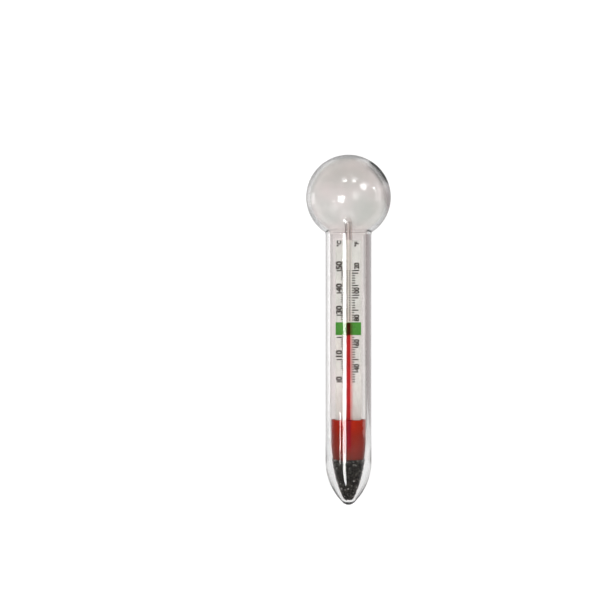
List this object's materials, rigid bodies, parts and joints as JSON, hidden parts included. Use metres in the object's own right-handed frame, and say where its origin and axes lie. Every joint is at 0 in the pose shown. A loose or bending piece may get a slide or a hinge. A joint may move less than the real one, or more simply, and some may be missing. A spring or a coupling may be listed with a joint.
{
  "type": "glass thermometer",
  "caption": "Round-headed glass aquarium thermometer with a sealed capillary of red spirit, a printed scale card, wax plug and ballasted tip.",
  "frame": {"origin": "lowest point of the drawn glass tip, on the tube's axis", "axes": "+Z along the tube axis from the tip to the ball; the printed face of the card looks towards -Y, and +X is to the right of a reader"},
  "size_m": [0.0268, 0.0268, 0.1105],
  "materials": {
    "clear_glass": "polished",
    "capillary_glass": "polished",
    "red_spirit": "gloss",
    "card": "matte",
    "green_ink": "satin",
    "black_ink": "satin",
    "red_wax": "satin",
    "black_iron": "satin"
  },
  "bodies": {
    "instrument": {"glass_envelope": "clear_glass", "capillary_stem": "capillary_glass", "reservoir_bulb": "capillary_glass", "spirit_reservoir": "red_spirit", "spirit_thread": "red_spirit", "scale_card": "card", "comfort_band": "green_ink", "celsius_ticks": "black_ink", "celsius_numerals": "black_ink", "fahrenheit_ticks": "black_ink", "fahrenheit_numerals": "black_ink", "unit_marks": "black_ink", "wax_plug": "red_wax", "ballast_shot": "black_iron"},
    "spirit_column_top": {"spirit_meniscus": "red_spirit"}
  },
  "joints": [
    {"name": "spirit_rise", "type": "slide", "parent": "instrument", "child": "spirit_column_top", "axis": [0, 0, 1], "range_m": [-0.01862, 0.01651], "deforming": ["spirit_thread"]}
  ]
}
